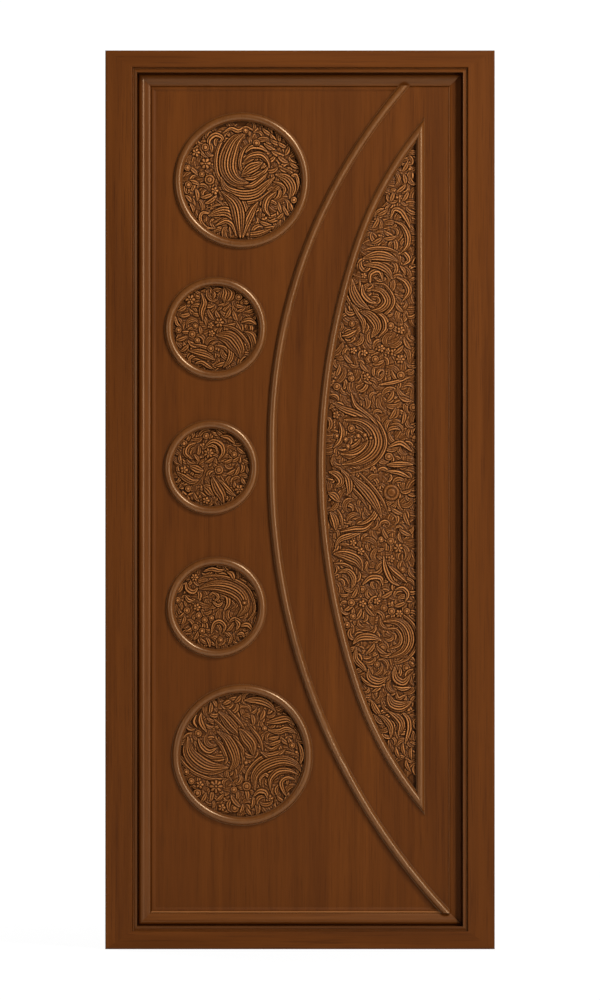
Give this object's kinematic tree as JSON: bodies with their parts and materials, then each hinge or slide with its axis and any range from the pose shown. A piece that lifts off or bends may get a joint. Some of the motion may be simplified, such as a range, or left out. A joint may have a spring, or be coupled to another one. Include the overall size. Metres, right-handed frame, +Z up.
{
  "type": "carved wooden door",
  "caption": "single wooden door leaf in its mitred frame, with carved round medallions, a carved half-moon panel and curved beads; it swings open on side hinges",
  "frame": {"origin": "on the floor under the middle of the frame, halfway through its depth", "axes": "+Z up, -Y out of the carved face, +X to the right as the carved face is seen"},
  "size_m": [0.91, 0.0875, 2.1],
  "materials": {
    "frame_wood": "satin varnish",
    "leaf_wood": "satin varnish",
    "moulding_wood": "satin varnish",
    "carved_wood": "satin varnish",
    "hinge_brass": "brushed, aged",
    "screw_steel": "brushed"
  },
  "bodies": {
    "frame": {"hinge_jamb": "frame_wood", "latch_jamb": "frame_wood", "frame_head": "frame_wood", "frame_sill": "frame_wood", "corner_dowels": "frame_wood", "top_hinge_jamb_plate": "hinge_brass", "middle_hinge_jamb_plate": "hinge_brass", "bottom_hinge_jamb_plate": "hinge_brass", "top_hinge_pin": "hinge_brass", "middle_hinge_pin": "hinge_brass", "bottom_hinge_pin": "hinge_brass", "jamb_screws": "screw_steel"},
    "leaf": {"leaf_slab": "leaf_wood", "border_left": "moulding_wood", "border_right": "moulding_wood", "border_top": "moulding_wood", "border_bottom": "moulding_wood", "arc_bead_upper": "moulding_wood", "arc_bead_lower": "moulding_wood", "moon_bead_upper": "moulding_wood", "moon_bead_middle": "moulding_wood", "moon_bead_lower": "moulding_wood", "arc_bead_middle": "moulding_wood", "moon_straight_bead": "moulding_wood", "top_ring": "moulding_wood", "upper_ring": "moulding_wood", "middle_ring": "moulding_wood", "lower_ring": "moulding_wood", "bottom_ring": "moulding_wood", "moon_carving": "carved_wood", "top_carving": "carved_wood", "upper_carving": "carved_wood", "middle_carving": "carved_wood", "lower_carving": "carved_wood", "bottom_carving": "carved_wood", "top_hinge_leaf_plate": "hinge_brass", "middle_hinge_leaf_plate": "hinge_brass", "bottom_hinge_leaf_plate": "hinge_brass", "leaf_screws": "screw_steel"}
  },
  "joints": [
    {"name": "leaf_swing", "type": "hinge", "parent": "frame", "child": "leaf", "pos_m": [-0.3925, 0.044, 0], "axis": [0, 0, 1], "range_deg": [0, 170]}
  ]
}
